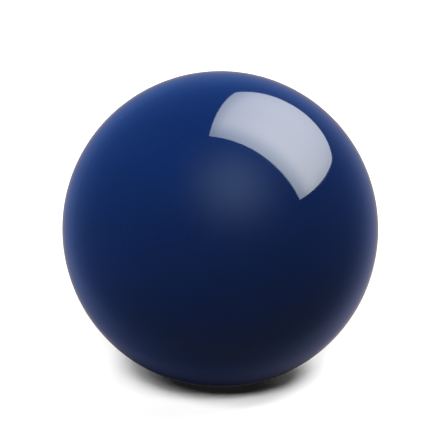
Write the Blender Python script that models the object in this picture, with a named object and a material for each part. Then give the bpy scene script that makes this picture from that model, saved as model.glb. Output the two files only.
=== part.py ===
"""A croquet ball: a pressed core inside two moulded half-shells.

The half-shells meet on a plane through the ball's centre. A spigot on the upper one reaches
down into a rebate in the lower one, and the two are cemented together there, over the core.
Metres, +Z up through both poles, with the origin at the ball's centre.
"""

from math import asin, cos, pi, radians, sin, sqrt, tau

import bmesh
import bpy

# Driving dimensions, in metres.
BALL_DIAMETER = 0.0921  # 3 5/8 in
SHELL_WALL = 0.0080
SPIGOT_DEPTH = 0.0036  # how far the spigot reaches below the parting plane
LEAD_IN = 0.0005  # chamfer on the spigot's outer edge
FIT_GAP = 0.0003  # between neighbouring pieces, where the real ball has cement

# How finely the round surfaces are divided.
SIDES = 64  # flats round the vertical axis
ARC_STEPS = 16  # flats along a quarter circle
MERGE_DISTANCE = 0.000001
SHARP_ANGLE = radians(30)

# Sizes that follow from the driving ones.
BALL_RADIUS = BALL_DIAMETER / 2
BORE_RADIUS = BALL_RADIUS - SHELL_WALL  # inside of both half-shells
CORE_RADIUS = BORE_RADIUS - FIT_GAP
LAP_RADIUS = (BALL_RADIUS + BORE_RADIUS) / 2  # the spigot takes the inner half of the wall
HALF_GAP = FIT_GAP / 2
REBATE_DEPTH = SPIGOT_DEPTH + FIT_GAP

POLE = pi / 2  # latitude, in radians

# Finishes: linear colour, roughness.
RESIN_BLUE = (0.003, 0.026, 0.150, 1.0)
RESIN_ROUGHNESS = 0.04
CORK_TAN = (0.235, 0.122, 0.055, 1.0)
CORK_ROUGHNESS = 0.85


def clear_scene():
    """Removes whatever the scene holds."""
    for item in list(bpy.data.objects):
        bpy.data.objects.remove(item)


def finish_of(name, colour, roughness):
    """A non-metallic material."""
    material = bpy.data.materials.new(name)
    material.use_nodes = True
    shader = material.node_tree.nodes["Principled BSDF"]
    shader.inputs["Base Color"].default_value = colour
    shader.inputs["Roughness"].default_value = roughness
    shader.inputs["Metallic"].default_value = 0.0
    return material


def arc(radius, start, end, steps):
    """Points (distance from the axis, height) on a circle about the origin, between two latitudes."""
    latitudes = [start + (end - start) * step / steps for step in range(steps + 1)]
    return [(radius * cos(latitude), radius * sin(latitude)) for latitude in latitudes]


def turned(name, profile, material):
    """A solid turned about Z from a profile that starts and ends on the axis."""
    shape = bmesh.new()
    corners = [shape.verts.new((radius, 0, height)) for radius, height in profile]
    edges = [shape.edges.new(pair) for pair in zip(corners, corners[1:])]
    bmesh.ops.spin(
        shape,
        geom=corners + edges,
        cent=(0, 0, 0),
        axis=(0, 0, 1),
        angle=tau,
        steps=SIDES,
        use_merge=True,
    )
    bmesh.ops.remove_doubles(shape, verts=shape.verts, dist=MERGE_DISTANCE)
    bmesh.ops.recalc_face_normals(shape, faces=shape.faces)
    mesh = bpy.data.meshes.new(name)
    shape.to_mesh(mesh)
    shape.free()
    mesh.shade_smooth()
    mesh.set_sharp_from_angle(angle=SHARP_ANGLE)
    mesh.materials.append(material)
    solid = bpy.data.objects.new(name, mesh)
    bpy.context.scene.collection.objects.link(solid)
    return solid


def make_core(material):
    """The pressed ball that fills the shell."""
    return turned("core", arc(CORE_RADIUS, -POLE, POLE, 2 * ARC_STEPS), material)


def make_upper_shell(material):
    """The half-shell whose spigot goes into the lower one."""
    rim_latitude = asin(HALF_GAP / BALL_RADIUS)
    outside = arc(BALL_RADIUS, POLE, rim_latitude, ARC_STEPS)
    spigot_radius = LAP_RADIUS - HALF_GAP
    spigot = [
        (spigot_radius, HALF_GAP),
        (spigot_radius, LEAD_IN - SPIGOT_DEPTH),
        (spigot_radius - LEAD_IN, -SPIGOT_DEPTH),
        (BORE_RADIUS, -SPIGOT_DEPTH),
    ]
    inside = arc(BORE_RADIUS, 0, POLE, ARC_STEPS)
    return turned("upper_shell", outside + spigot + inside, material)


def make_lower_shell(material):
    """The half-shell with the rebate that takes the spigot."""
    rim_latitude = -asin(HALF_GAP / BALL_RADIUS)
    outside = arc(BALL_RADIUS, -POLE, rim_latitude, ARC_STEPS)
    rebate_radius = LAP_RADIUS + HALF_GAP
    seat_edge = sqrt(BORE_RADIUS**2 - REBATE_DEPTH**2)
    rebate = [
        (rebate_radius, -HALF_GAP),
        (rebate_radius, -REBATE_DEPTH),
        (seat_edge, -REBATE_DEPTH),
    ]
    seat_latitude = -asin(REBATE_DEPTH / BORE_RADIUS)
    inside = arc(BORE_RADIUS, seat_latitude, -POLE, ARC_STEPS)[1:]
    return turned("lower_shell", outside + rebate + inside, material)


clear_scene()
resin = finish_of("shell_resin", RESIN_BLUE, RESIN_ROUGHNESS)
cork = finish_of("core_cork", CORK_TAN, CORK_ROUGHNESS)
make_core(cork)
make_upper_shell(resin)
make_lower_shell(resin)
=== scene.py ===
"""Looks of the croquet ball: polished resin half-shells over a pressed cork core, in a white studio."""

from math import asin, cos, pi, radians, sin, sqrt, tau

import bmesh
import bpy
import numpy as np
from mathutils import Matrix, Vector
from mathutils.kdtree import KDTree


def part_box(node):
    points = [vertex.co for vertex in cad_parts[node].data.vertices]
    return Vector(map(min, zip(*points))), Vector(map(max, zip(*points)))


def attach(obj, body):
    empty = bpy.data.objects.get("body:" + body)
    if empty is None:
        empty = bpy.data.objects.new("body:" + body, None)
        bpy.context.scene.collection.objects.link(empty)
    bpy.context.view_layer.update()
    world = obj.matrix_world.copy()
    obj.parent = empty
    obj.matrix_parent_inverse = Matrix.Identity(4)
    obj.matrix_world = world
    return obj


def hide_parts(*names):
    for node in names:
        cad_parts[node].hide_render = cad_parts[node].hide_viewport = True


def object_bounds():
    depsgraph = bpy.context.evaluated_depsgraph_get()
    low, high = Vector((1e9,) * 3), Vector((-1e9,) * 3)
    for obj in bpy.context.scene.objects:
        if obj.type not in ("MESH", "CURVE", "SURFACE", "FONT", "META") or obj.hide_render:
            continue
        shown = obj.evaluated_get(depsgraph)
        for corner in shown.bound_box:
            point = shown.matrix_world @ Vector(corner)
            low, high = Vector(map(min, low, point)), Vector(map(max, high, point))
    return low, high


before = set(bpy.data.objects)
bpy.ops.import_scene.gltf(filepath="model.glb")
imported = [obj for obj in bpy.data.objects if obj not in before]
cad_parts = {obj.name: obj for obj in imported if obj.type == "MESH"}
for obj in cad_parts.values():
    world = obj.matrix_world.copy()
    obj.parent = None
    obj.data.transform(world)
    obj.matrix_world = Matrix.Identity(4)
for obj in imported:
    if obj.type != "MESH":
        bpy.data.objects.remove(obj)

CAD_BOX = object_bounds()

# Sizes, in metres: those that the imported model's boxes give, two that they don't, and what follows.
BALL_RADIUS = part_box("upper_shell")[1].z
CORE_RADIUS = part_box("core")[1].z
SPIGOT_DEPTH = -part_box("upper_shell")[0].z
FIT_GAP = 0.0003  # between a half-shell and what is inside it
LEAD_IN = 0.0005  # chamfer on the spigot's outer edge
BORE_RADIUS = CORE_RADIUS + FIT_GAP
LAP_RADIUS = (BALL_RADIUS + BORE_RADIUS) / 2
REBATE_DEPTH = SPIGOT_DEPTH + FIT_GAP
POLE = pi / 2

# How finely the shells and the core are divided.
SIDES = 192
OUTER_STEPS = 48
INNER_STEPS = 32
CORE_SUBDIVISIONS = 7
MERGE_DISTANCE = 0.000001
SPHERE_TOLERANCE = 0.00001
SHARP_ANGLE = radians(30)

# Pressed cork granules, in metres.
GRANULE_COUNT = 2100
GROOVE_DEPTH = 0.00035
GROOVE_WIDTH = 0.00060
CROWN_DROP = 0.00012  # how much lower a granule is at its edge than in its middle
GRANULE_SEED = 7

# Camera. The shares are of the picture's width: the ball's diameter, and how far the ball sits below the
# middle and to the right of it.
LENS_MM = 150.0
SENSOR_MM = 36.0
BALL_SHARE = 0.7191
DROP_SHARE = 0.0203
SIDE_SHARE = 0.0006
CAMERA_ELEVATION = 19
CLIP_START = 0.01
CLIP_END = 100.0

# Linear colours.
RESIN_DEEP = (0.0010, 0.0235, 0.1400, 1.0)
RESIN_LIGHT = (0.0018, 0.0265, 0.1600, 1.0)
CORK_DARK = (0.070, 0.034, 0.016, 1.0)
CORK_MID = (0.235, 0.122, 0.055, 1.0)
CORK_PALE = (0.420, 0.250, 0.125, 1.0)

# Grain: how fine each noise is, in cycles per metre.
FLOW_SCALE = 22.0
RESIN_SPECK_SCALE = 900.0
HAZE_SCALE = 70.0
HAIRLINE_SCALE = 700.0
HAIRLINE_STRETCH = (1.0, 1.0, 14.0)  # packs the hairlines closer along Z, so that they run level
MOULD_SCALE = 400.0
RIPPLE_SCALE = 160.0
CORK_SPECK_SCALE = 1600.0
CORK_BLOTCH_SCALE = 420.0

# Finish: roughness from the smoothest place to the roughest, depths in metres, and an index of refraction.
POLISH_ROUGHNESS = (0.030, 0.060)
HAIRLINE_ROUGHNESS = 0.030  # what a hairline adds
MOULD_ROUGHNESS = (0.38, 0.52)
CORK_ROUGHNESS = (0.78, 0.95)
POLISH_START = 0.0006  # the polish fades in between these two depths below the ball's face
POLISH_FULL = 0.0002
RIPPLE_DEPTH = 0.0000012
PIT_DEPTH = 0.0001
RESIN_IOR = 1.5

# Softbox: where it hangs, its corners per metre of distance, and how far its sides, each from its own
# corner to the next, belly out per metre of their length.
PANEL_AZIMUTH = 52.0
PANEL_ELEVATION = 46.5
PANEL_DISTANCE = 4.0
PANEL_CORNERS = ((0.577, 0.126), (-0.155, -0.457), (-1.247, -0.030), (0.078, 1.172))
PANEL_BELLIES = (0.223, 0.025, -0.028, 0.009)
PANEL_ROUNDING = (0.02, 0.05, 0.00, 0.00)  # share of each neighbouring side that a corner's curve takes
PANEL_SIDES = len(PANEL_CORNERS)
PANEL_SIDE_STEPS = 24

# Softbox cloth: its light in the middle and at the edge, how much of the middle's is left at each side,
# with the width of the fade there, and the lamp behind it.
PANEL_CENTRE_LIGHT = (12.6, 13.05, 13.3)
PANEL_EDGE_LIGHT = (5.7, 6.75, 7.4)
PANEL_FADES = ((0.81, 0.36), (0.83, 0.12), (0.20, 0.44), (0.49, 0.18))
PANEL_HOT_SPOT = (-0.59, 0.53)  # where the lamp is nearest
PANEL_HOT_REACH = 1.24  # how far from there the light has fallen to 1/e, per metre of distance

# What else the polish reflects, in linear colours. A rise or fall runs between two cosines of the angle
# from straight behind the ball, one over 1 never being reached. A lean is how much the light grows to the
# right and upwards.
ROOM_LIGHT = (0.1215, 0.1215, 0.0893)
GLOW_LIGHT = (0.647, 0.906, 1.165)
GLOW_HEADING = (165, 50.7)
GLOW_TIGHTNESS = 10.6
PAPER_LIGHT = (0.2945, 0.206, 0.206)
PAPER_RISE = (0.264, 1.30)
PAPER_LEAN = (0.313, -0.795)
EDGE_LIGHT = (0.1006, 0.1287, 0.1568)
EDGE_RISE = (0.85, 1.0)
HAZE_LIGHT = (0.0, 0.1123, 0.4057)
HAZE_RISE = (0.098, 0.95)
HAZE_FALL = (0.814, 0.9935)
HAZE_LEAN = (-0.107, 0.313)
UNDER_HEADING = (-9, -59)  # the studio is dimmer down there, by cosines of the angle from this heading
UNDER_FALL = (0.736, 1.034)
UNDER_SHARE = 0.27

# Ball lights: name, azimuth, elevation and width in degrees, and how bright each makes a white face that
# is turned to it.
BALL_LIGHTS = (
    ("back", -7, 8, 159, 1.66),
    ("front", 183, 55, 130, 0.36),
    ("left", -114, 63, 48, 0.24),
)

# The floor: its radius in metres, and the share of light that it gives back.
FLOOR_RADIUS = 6.0
FLOOR_WHITENESS = 0.90
DISC_SIDES = 96  # of the floor, and of the dark on it

# Floor lights: name, azimuth, elevation and width in degrees, and the brightness each gives the floor.
FLOOR_LIGHTS = (
    ("front", 176, 40, 11, 0.24),
    ("front_left", 195, 40, 15, 0.31),
    ("front_right", 161, 44, 8, 0.15),
    ("left", 210, 50, 12, 0.27),
    ("right", 111, 56, 15, 0.39),
    ("back", 0, 31, 49, 0.30),
    ("back_high", 9, 51, 25, 0.15),
)
STRAY_LIGHT = 0.013  # what reaches the floor even under the ball

# The painted shadow round the ball's foot, in ball radii: its middle, a little behind the foot, and how far
# from there it starts to fade and ends.
FOOT_SHADE_PLACE = (-0.04, 0.19)
FOOT_SHADE_START = 0.55
FOOT_SHADE_END = 0.89
FOOT_SHADE_STRENGTH = 0.91
FOOT_SHADE_SINK = 0.0001  # metres below the floor's face, so that it shades the ball and not the floor


# ---------------------------------------------------------------- directions


def heading(azimuth, elevation):
    """Unit vector: azimuth turns from +Y towards +X, elevation is above the horizon, in degrees."""
    turn, lift = radians(azimuth), radians(elevation)
    return Vector((cos(lift) * sin(turn), cos(lift) * cos(turn), sin(lift)))


TO_CAMERA = heading(180, CAMERA_ELEVATION)


# ---------------------------------------------------------------- node helpers


class Nodes:
    """Short calls for building one node tree."""

    def __init__(self, tree):
        self.tree = tree
        self.tree.nodes.clear()

    def feed(self, socket, value):
        """Links a socket, or sets a plain value."""
        if isinstance(value, bpy.types.NodeSocket):
            self.tree.links.new(value, socket)
        else:
            socket.default_value = value

    def add(self, kind, inputs=(), **settings):
        """A node with its settings, and its inputs by name or index."""
        node = self.tree.nodes.new(kind)
        for name, value in settings.items():
            setattr(node, name, value)
        for key, value in dict(inputs).items():
            self.feed(node.inputs[key], value)
        return node

    def math(self, operation, first, second=0.0):
        """One operation on numbers."""
        return self.add("ShaderNodeMath", {0: first, 1: second}, operation=operation).outputs[0]

    def product(self, *numbers):
        """All the numbers multiplied together."""
        result = numbers[0]
        for number in numbers[1:]:
            result = self.math("MULTIPLY", result, number)
        return result

    def total(self, *numbers):
        """All the numbers added together."""
        result = numbers[0]
        for number in numbers[1:]:
            result = self.math("ADD", result, number)
        return result

    def vector(self, operation, first, second):
        """One operation on vectors."""
        return self.add("ShaderNodeVectorMath", {0: first, 1: second}, operation=operation)

    def dot(self, vector, axis):
        """How far a vector points along an axis."""
        return self.vector("DOT_PRODUCT", vector, tuple(axis)).outputs["Value"]

    def length(self, vector):
        """How long a vector is."""
        return self.add("ShaderNodeVectorMath", {0: vector}, operation="LENGTH").outputs["Value"]

    def tinted(self, colour, amount):
        """A colour times a number."""
        node = self.add("ShaderNodeVectorMath", {0: colour, "Scale": amount}, operation="SCALE")
        return node.outputs["Vector"]

    def summed(self, *colours):
        """The sum of several colours."""
        result = colours[0]
        for colour in colours[1:]:
            result = self.vector("ADD", result, colour).outputs["Vector"]
        return result

    def ramp(self, value, start, stop, low=0.0, high=1.0):
        """Goes smoothly from low to high as value goes from start to stop."""
        ends = {"Value": value, "From Min": start, "From Max": stop, "To Min": low, "To Max": high}
        return self.add("ShaderNodeMapRange", ends, interpolation_type="SMOOTHSTEP").outputs["Result"]

    def noise(self, place, scale, detail=2.0, distortion=0.0):
        """Smooth noise in space, from 0 to 1."""
        inputs = {"Vector": place, "Scale": scale, "Detail": detail, "Distortion": distortion}
        return self.add("ShaderNodeTexNoise", inputs).outputs["Fac"]

    def mixed(self, share, first, second):
        """A colour between two others."""
        node = self.add("ShaderNodeMix", data_type="RGBA")
        sockets = {socket.identifier: socket for socket in node.inputs}
        self.feed(sockets["Factor_Float"], share)
        self.feed(sockets["A_Color"], first)
        self.feed(sockets["B_Color"], second)
        return next(socket for socket in node.outputs if socket.identifier == "Result_Color")

    def layered(self, share, first, second):
        """A shader that goes from the first to the second as share goes from 0 to 1."""
        return self.add("ShaderNodeMixShader", {0: share, 1: first.outputs[0], 2: second.outputs[0]})


def new_material(name):
    """A material with an empty node tree, and the helper that fills it."""
    material = bpy.data.materials.new(name)
    material.use_nodes = True
    return material, Nodes(material.node_tree)


# ---------------------------------------------------------------- materials


def resin_material():
    """Cast resin: an even deep blue, polished outside and left satin as moulded inside."""
    material, nodes = new_material("shell_resin_blue")
    place = nodes.add("ShaderNodeTexCoord").outputs["Object"]

    flow = nodes.noise(place, FLOW_SCALE, detail=3.0, distortion=1.4)
    speck = nodes.noise(place, RESIN_SPECK_SCALE, detail=1.0)
    shade = nodes.math("ADD", nodes.product(flow, 0.7), nodes.product(speck, 0.3))
    colour = nodes.mixed(nodes.ramp(shade, 0.30, 0.70), RESIN_DEEP, RESIN_LIGHT)

    haze = nodes.ramp(nodes.noise(place, HAZE_SCALE, detail=4.0), 0.35, 0.75, *POLISH_ROUGHNESS)
    grain = nodes.vector("MULTIPLY", place, HAIRLINE_STRETCH).outputs["Vector"]
    hairlines = nodes.ramp(nodes.noise(grain, HAIRLINE_SCALE), 0.66, 0.74, 0.0, HAIRLINE_ROUGHNESS)
    polished = nodes.math("ADD", haze, hairlines)
    outside = nodes.ramp(nodes.length(place), BALL_RADIUS - POLISH_START, BALL_RADIUS - POLISH_FULL)
    moulded = nodes.ramp(nodes.noise(place, MOULD_SCALE, detail=3.0), 0.30, 0.70, *MOULD_ROUGHNESS)
    polish_share = nodes.product(outside, polished)
    mould_share = nodes.product(nodes.math("SUBTRACT", 1.0, outside), moulded)
    roughness = nodes.math("ADD", polish_share, mould_share)

    ripple = nodes.noise(place, RIPPLE_SCALE, detail=1.0)
    bump = nodes.add("ShaderNodeBump", {"Height": ripple, "Strength": 1.0, "Distance": RIPPLE_DEPTH})

    surface = {
        "Base Color": colour,
        "Roughness": roughness,
        "IOR": RESIN_IOR,
        "Normal": bump.outputs["Normal"],
    }
    shader = nodes.add("ShaderNodeBsdfPrincipled", surface)
    nodes.add("ShaderNodeOutputMaterial", {"Surface": shader.outputs["BSDF"]})
    return material


def cork_material():
    """Pressed cork: granules of several browns with dark binder in the grooves between them."""
    material, nodes = new_material("core_cork_granules")
    place = nodes.add("ShaderNodeTexCoord").outputs["Object"]
    tone = nodes.add("ShaderNodeAttribute", attribute_name="granule_tone").outputs["Fac"]
    depth = nodes.add("ShaderNodeAttribute", attribute_name="groove").outputs["Fac"]

    speck = nodes.noise(place, CORK_SPECK_SCALE, detail=4.0)
    blotch = nodes.noise(place, CORK_BLOTCH_SCALE, detail=3.0)
    mottled = nodes.math("ADD", nodes.product(tone, 0.65), nodes.product(blotch, 0.35))
    body = nodes.mixed(mottled, CORK_MID, CORK_PALE)
    pitted = nodes.mixed(nodes.ramp(speck, 0.58, 0.72), body, CORK_DARK)
    colour = nodes.mixed(nodes.ramp(depth, 0.25, 0.85), pitted, CORK_DARK)

    roughness = nodes.ramp(speck, 0.2, 0.8, *CORK_ROUGHNESS)
    bump = nodes.add("ShaderNodeBump", {"Height": speck, "Strength": 0.6, "Distance": PIT_DEPTH})
    surface = {"Base Color": colour, "Roughness": roughness, "Normal": bump.outputs["Normal"]}
    shader = nodes.add("ShaderNodeBsdfPrincipled", surface)
    nodes.add("ShaderNodeOutputMaterial", {"Surface": shader.outputs["BSDF"]})
    return material


def floor_material():
    """Plain white matt."""
    material, nodes = new_material("studio_floor_white")
    white = (FLOOR_WHITENESS, FLOOR_WHITENESS, FLOOR_WHITENESS, 1.0)
    shader = nodes.add("ShaderNodeBsdfDiffuse", {"Color": white})
    nodes.add("ShaderNodeOutputMaterial", {"Surface": shader.outputs["BSDF"]})
    return material


def foot_shade_material():
    """A painted shadow that the polish mirrors: black at the ball's foot, fading outwards to nothing."""
    material, nodes = new_material("foot_shade")
    place = nodes.add("ShaderNodeTexCoord").outputs["Object"]
    start = FOOT_SHADE_START * BALL_RADIUS
    end = FOOT_SHADE_END * BALL_RADIUS
    cover = nodes.ramp(nodes.length(place), start, end, FOOT_SHADE_STRENGTH, 0.0)
    clear = nodes.add("ShaderNodeBsdfTransparent")
    black = nodes.add("ShaderNodeEmission", {"Strength": 0.0})
    shown = nodes.layered(cover, clear, black)
    nodes.add("ShaderNodeOutputMaterial", {"Surface": shown.outputs[0]})
    return material


def panel_depth(nodes, place, side):
    """How far a place on the softbox is in from one of its bellied sides, per metre of distance."""
    start = Vector(PANEL_CORNERS[side])
    along = Vector(PANEL_CORNERS[(side + 1) % PANEL_SIDES]) - start
    inward = Vector((along.y, -along.x)).normalized()
    share = nodes.dot(place, (along / (PANEL_DISTANCE * along.length_squared)).to_3d())
    share = nodes.math("SUBTRACT", share, start.dot(along) / along.length_squared)
    belly = nodes.product(share, nodes.math("SUBTRACT", 1.0, share), 4 * PANEL_BELLIES[side] * along.length)
    reach = nodes.dot(place, (inward / PANEL_DISTANCE).to_3d())
    return nodes.total(reach, -inward.dot(start), belly)


def panel_material():
    """The softbox's lit cloth: brightest near its lamp, and dimmer along its sides."""
    material, nodes = new_material("softbox_cloth")
    place = nodes.add("ShaderNodeTexCoord").outputs["Object"]
    fade = 1.0
    for side, (edge, width) in enumerate(PANEL_FADES):
        rise = nodes.ramp(panel_depth(nodes, place, side), 0.0, width, edge, 1.0)
        fade = nodes.product(rise, fade)
    lamp = (Vector(PANEL_HOT_SPOT) * PANEL_DISTANCE).to_3d()
    away = nodes.vector("DISTANCE", place, lamp).outputs["Value"]
    reach = PANEL_HOT_REACH * PANEL_DISTANCE
    hot = nodes.math("EXPONENT", nodes.product(away, away, -1 / reach**2))
    colour = nodes.mixed(fade, (*PANEL_EDGE_LIGHT, 1.0), (*PANEL_CENTRE_LIGHT, 1.0))
    shader = nodes.add("ShaderNodeEmission", {"Color": colour, "Strength": hot})
    nodes.add("ShaderNodeOutputMaterial", {"Surface": shader.outputs["Emission"]})
    return material


# ---------------------------------------------------------------- meshes


def new_piece(name, mesh, material):
    """An object in the scene that shows a mesh."""
    mesh.materials.append(material)
    piece = bpy.data.objects.new(name, mesh)
    bpy.context.scene.collection.objects.link(piece)
    return piece


def arc(radius, start, end, steps):
    """Points (distance from the axis, height) on a circle about the origin, between two latitudes."""
    latitudes = [start + (end - start) * step / steps for step in range(steps + 1)]
    return [(radius * cos(latitude), radius * sin(latitude)) for latitude in latitudes]


def turned_mesh(name, profile):
    """A mesh turned about Z from a profile that starts and ends on the axis."""
    shape = bmesh.new()
    corners = [shape.verts.new((radius, 0, height)) for radius, height in profile]
    edges = [shape.edges.new(pair) for pair in zip(corners, corners[1:])]
    bmesh.ops.spin(
        shape,
        geom=corners + edges,
        cent=(0, 0, 0),
        axis=(0, 0, 1),
        angle=tau,
        steps=SIDES,
        use_merge=True,
    )
    bmesh.ops.remove_doubles(shape, verts=shape.verts, dist=MERGE_DISTANCE)
    bmesh.ops.recalc_face_normals(shape, faces=shape.faces)
    mesh = bpy.data.meshes.new(name)
    shape.to_mesh(mesh)
    shape.free()
    return mesh


def on_sphere(mesh, face, radius):
    """Whether all of a face's corners lie on a sphere about the origin."""
    reaches = [mesh.vertices[index].co.length for index in face.vertices]
    return all(abs(reach - radius) < SPHERE_TOLERANCE for reach in reaches)


def shade_as_sphere(mesh):
    """Gives the polished outside and the bore a true sphere's normals, and leaves the joint crisp."""
    mesh.shade_smooth()
    mesh.set_sharp_from_angle(angle=SHARP_ANGLE)
    normals = [corner.vector.copy() for corner in mesh.corner_normals]
    for face in mesh.polygons:
        for radius, side in ((BALL_RADIUS, 1), (BORE_RADIUS, -1)):
            if on_sphere(mesh, face, radius):
                for corner in face.loop_indices:
                    place = mesh.vertices[mesh.loops[corner].vertex_index].co
                    normals[corner] = place.normalized() * side
    mesh.normals_split_custom_set(normals)


def make_upper_shell(material):
    """The half-shell with the spigot, its polished outside ending flush on the parting plane."""
    outside = arc(BALL_RADIUS, POLE, 0, OUTER_STEPS)
    spigot_radius = LAP_RADIUS - FIT_GAP / 2
    spigot = [
        (spigot_radius, 0),
        (spigot_radius, LEAD_IN - SPIGOT_DEPTH),
        (spigot_radius - LEAD_IN, -SPIGOT_DEPTH),
        (BORE_RADIUS, -SPIGOT_DEPTH),
    ]
    inside = arc(BORE_RADIUS, 0, POLE, INNER_STEPS)
    mesh = turned_mesh("upper_shell_polished", outside + spigot + inside)
    shade_as_sphere(mesh)
    return new_piece("upper_shell_polished", mesh, material)


def make_lower_shell(material):
    """The half-shell with the rebate, its rim closing on the upper one with no line to see."""
    outside = arc(BALL_RADIUS, -POLE, 0, OUTER_STEPS)
    rebate_radius = LAP_RADIUS + FIT_GAP / 2
    seat_latitude = -asin(REBATE_DEPTH / BORE_RADIUS)
    seat_edge = sqrt(BORE_RADIUS**2 - REBATE_DEPTH**2)
    rebate = [
        (rebate_radius, 0),
        (rebate_radius, -REBATE_DEPTH),
        (seat_edge, -REBATE_DEPTH),
    ]
    inside = arc(BORE_RADIUS, seat_latitude, -POLE, INNER_STEPS)[1:]
    mesh = turned_mesh("lower_shell_polished", outside + rebate + inside)
    shade_as_sphere(mesh)
    return new_piece("lower_shell_polished", mesh, material)


def granule_centres():
    """Seeded random directions, one for each granule, and the granules' tones from 0 to 1."""
    chance = np.random.default_rng(GRANULE_SEED)
    directions = chance.normal(size=(GRANULE_COUNT, 3))
    directions /= np.linalg.norm(directions, axis=1)[:, None]
    return directions, chance.random(GRANULE_COUNT)


def make_core(material):
    """The pressed ball: crowned granules with grooves between them, nowhere above the core's radius."""
    directions, tones = granule_centres()
    tree = KDTree(GRANULE_COUNT)
    for index, direction in enumerate(directions):
        tree.insert(Vector(direction) * CORE_RADIUS, index)
    tree.balance()

    shape = bmesh.new()
    bmesh.ops.create_icosphere(shape, subdivisions=CORE_SUBDIVISIONS, radius=CORE_RADIUS)
    tone_values = []
    groove_values = []
    for vert in shape.verts:
        (_, nearest, near), (_, _, next_near) = tree.find_n(vert.co, 2)
        groove = max(0.0, 1.0 - (next_near - near) / GROOVE_WIDTH)
        groove = groove * groove * (3 - 2 * groove)  # rounds the groove's bottom and its lips
        crown = near / (near + next_near)  # 0 in a granule's middle, a half at its edge
        drop = GROOVE_DEPTH * groove + CROWN_DROP * 4 * crown * crown
        vert.co *= 1 - drop / CORE_RADIUS
        tone_values.append(tones[nearest])
        groove_values.append(groove)
    mesh = bpy.data.meshes.new("cork_core")
    shape.to_mesh(mesh)
    shape.free()
    mesh.shade_smooth()
    for name, values in (("granule_tone", tone_values), ("groove", groove_values)):
        attribute = mesh.attributes.new(name, "FLOAT", "POINT")
        attribute.data.foreach_set("value", values)
    return new_piece("cork_core", mesh, material)


# ---------------------------------------------------------------- studio


def hide_from(thing, *rays):
    """Keeps an object or a light out of some kinds of rays."""
    for ray in rays:
        setattr(thing, "visible_" + ray, False)


def staged_disc(name, radius, material):
    """A flat round piece of the studio, level with the ball's foot."""
    shape = bmesh.new()
    bmesh.ops.create_circle(shape, cap_ends=True, segments=DISC_SIDES, radius=radius)
    mesh = bpy.data.meshes.new(name)
    shape.to_mesh(mesh)
    shape.free()
    disc = new_piece(name, mesh, material)
    disc.location.z = CAD_BOX[0].z
    return disc


def make_floor():
    """The white floor that the ball stands on, and the painted shadow round its foot.

    The ball doesn't mirror the floor, and the floor keeps no light off it. The dark disc does both.
    """
    floor = staged_disc("studio_floor", FLOOR_RADIUS, floor_material())
    hide_from(floor, "diffuse", "glossy", "transmission", "shadow")
    shade = staged_disc("foot_shade", FOOT_SHADE_END * BALL_RADIUS, foot_shade_material())
    shade.location.xy = Vector(FOOT_SHADE_PLACE) * BALL_RADIUS
    shade.location.z -= FOOT_SHADE_SINK
    hide_from(shade, "camera", "diffuse", "transmission")
    return floor


def panel_side(side):
    """Points along one side of the softbox."""
    start = Vector(PANEL_CORNERS[side])
    end = Vector(PANEL_CORNERS[(side + 1) % PANEL_SIDES])
    outward = Vector((start.y - end.y, end.x - start.x))
    first = PANEL_ROUNDING[side]
    last = 1 - PANEL_ROUNDING[(side + 1) % PANEL_SIDES]
    points = []
    for step in range(PANEL_SIDE_STEPS + 1):
        share = first + (last - first) * step / PANEL_SIDE_STEPS
        points.append(start.lerp(end, share) + outward * PANEL_BELLIES[side] * 4 * share * (1 - share))
    return points


def panel_outline():
    """The softbox's outline: four sides, with a curve between the two at each rounded corner."""
    points = []
    for side in range(PANEL_SIDES):
        before = panel_side((side - 1) % PANEL_SIDES)[-1]
        corner = Vector(PANEL_CORNERS[side])
        along = panel_side(side)
        if PANEL_ROUNDING[side] > 0:
            for step in range(1, PANEL_SIDE_STEPS):
                share = step / PANEL_SIDE_STEPS
                points.append(before.lerp(corner, share).lerp(corner.lerp(along[0], share), share))
        points += along if PANEL_ROUNDING[(side + 1) % PANEL_SIDES] > 0 else along[:-1]
    return points


def make_softbox():
    """The one sharp reflection: a lit panel up on the right, seen only in gloss."""
    shape = bmesh.new()
    corners = [shape.verts.new((*(point * PANEL_DISTANCE), 0)) for point in panel_outline()]
    shape.faces.new(corners)
    mesh = bpy.data.meshes.new("softbox")
    shape.to_mesh(mesh)
    shape.free()
    panel = new_piece("softbox", mesh, panel_material())
    away = heading(PANEL_AZIMUTH, PANEL_ELEVATION)
    panel.location = away * PANEL_DISTANCE
    panel.rotation_euler = away.to_track_quat("Z", "Y").to_euler()
    hide_from(panel, "camera", "diffuse", "transmission", "shadow")


def make_sun(name, towards, strength, angle, receivers):
    """A soft distant light that lies in a direction, lights only the receivers and makes no highlight."""
    data = bpy.data.lights.new(name, "SUN")
    data.energy = strength
    data.angle = radians(angle)
    data.cycles.use_multiple_importance_sampling = False
    sun = bpy.data.objects.new(name, data)
    bpy.context.scene.collection.objects.link(sun)
    sun.rotation_euler = towards.to_track_quat("Z", "Y").to_euler()
    sun.light_linking.receiver_collection = receivers
    hide_from(sun, "glossy")


def group_of(name, things):
    """A collection that lights can be linked to."""
    group = bpy.data.collections.new(name)
    for thing in things:
        group.objects.link(thing)
    return group


def light_ball(receivers):
    """The ball's soft light: most of it from behind, and a little from in front and from the upper left."""
    for name, azimuth, elevation, width, brightness in BALL_LIGHTS:
        make_sun("ball_" + name, heading(azimuth, elevation), brightness * pi, width, receivers)


def light_floor(receivers):
    """Soft lights round the ball, most of them in front, so that its shadow stays close under it."""
    for name, azimuth, elevation, width, brightness in FLOOR_LIGHTS:
        strength = brightness * pi / (FLOOR_WHITENESS * sin(radians(elevation)))
        make_sun("floor_" + name, heading(azimuth, elevation), strength, width, receivers)


def leaning(nodes, across, height, lean):
    """A factor of 1 straight behind the ball that grows evenly across and upwards by the lean."""
    return nodes.total(1.0, nodes.product(across, lean[0]), nodes.product(height, lean[1]))


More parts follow.
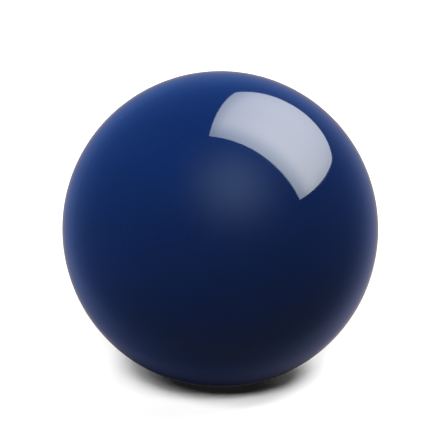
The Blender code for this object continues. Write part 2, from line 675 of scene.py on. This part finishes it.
def studio_reflections(nodes, towards):
    """What the polish reflects: a dim room, a soft glow in front and a cool backdrop behind the ball."""
    behind = nodes.dot(towards, -TO_CAMERA)
    across = nodes.dot(towards, (1, 0, 0))
    height = nodes.math("ADD", nodes.dot(towards, (0, 0, 1)), sin(radians(CAMERA_ELEVATION)))

    glow_facing = nodes.math("MAXIMUM", nodes.dot(towards, heading(*GLOW_HEADING)), 0.0)
    glow = nodes.tinted(GLOW_LIGHT, nodes.math("POWER", glow_facing, GLOW_TIGHTNESS))

    paper_rise = nodes.ramp(behind, *PAPER_RISE)
    paper_lean = leaning(nodes, across, height, PAPER_LEAN)
    paper = nodes.tinted(PAPER_LIGHT, nodes.product(paper_rise, paper_lean))
    edge = nodes.tinted(EDGE_LIGHT, nodes.ramp(behind, *EDGE_RISE))

    haze_rise = nodes.ramp(behind, *HAZE_RISE)
    haze_fall = nodes.ramp(behind, *HAZE_FALL, 1.0, 0.0)
    haze_lean = leaning(nodes, across, height, HAZE_LEAN)
    haze = nodes.tinted(HAZE_LIGHT, nodes.product(haze_rise, haze_fall, haze_lean))

    under = nodes.ramp(nodes.dot(towards, heading(*UNDER_HEADING)), *UNDER_FALL, 1.0, UNDER_SHARE)
    return nodes.tinted(nodes.summed(ROOM_LIGHT, glow, paper, edge, haze), under)


def make_world():
    """White to the camera, the studio's soft shapes to reflections, and only stray light otherwise."""
    world = bpy.data.worlds.new("studio_world")
    world.use_nodes = True
    world.cycles.sampling_method = "NONE"
    nodes = Nodes(world.node_tree)
    towards = nodes.add("ShaderNodeTexCoord").outputs["Generated"]
    path = nodes.add("ShaderNodeLightPath").outputs
    stray = nodes.add("ShaderNodeBackground", {"Strength": STRAY_LIGHT})
    white = nodes.add("ShaderNodeBackground", {"Color": (1, 1, 1, 1)})
    seen = nodes.add("ShaderNodeBackground", {"Color": studio_reflections(nodes, towards)})
    mirrored = nodes.layered(path["Is Glossy Ray"], stray, seen)
    shown = nodes.layered(path["Is Camera Ray"], mirrored, white)
    nodes.add("ShaderNodeOutputWorld", {"Surface": shown.outputs[0]})
    bpy.context.scene.world = world


def make_camera():
    """A long lens a little above the ball, looking down on it and framing it by its share of the width."""
    data = bpy.data.cameras.new("camera")
    data.lens = LENS_MM
    data.sensor_width = SENSOR_MM
    camera = bpy.data.objects.new("camera", data)
    bpy.context.scene.collection.objects.link(camera)
    half_angle_tangent = BALL_SHARE * SENSOR_MM / (2 * LENS_MM)
    distance = BALL_RADIUS * sqrt(1 + 1 / half_angle_tangent**2)
    view_width = distance * SENSOR_MM / LENS_MM
    rise = heading(0, 90 - CAMERA_ELEVATION) * DROP_SHARE * view_width
    sidestep = heading(90, 0) * SIDE_SHARE * view_width
    camera.location = TO_CAMERA * distance + rise - sidestep
    camera.rotation_euler = TO_CAMERA.to_track_quat("Z", "Y").to_euler()
    data.clip_start = CLIP_START
    data.clip_end = CLIP_END
    bpy.context.scene.camera = camera


# ---------------------------------------------------------------- the scene

make_camera()
resin = resin_material()
pieces = [
    (make_core(cork_material()), "core", "core_cork"),
    (make_upper_shell(resin), "upper_shell", "shell_resin"),
    (make_lower_shell(resin), "lower_shell", "shell_resin"),
]
for piece, node, material_slot in pieces:
    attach(piece, "root")
    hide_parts(node)
    hide_from(piece, "diffuse")  # so that the stray light reaches the floor under the ball too

floor = make_floor()
make_softbox()
make_world()
light_ball(group_of("lit_ball", [piece for piece, _, _ in pieces]))
light_floor(group_of("lit_floor", [floor]))
bpy.context.scene.view_settings.view_transform = "Standard"
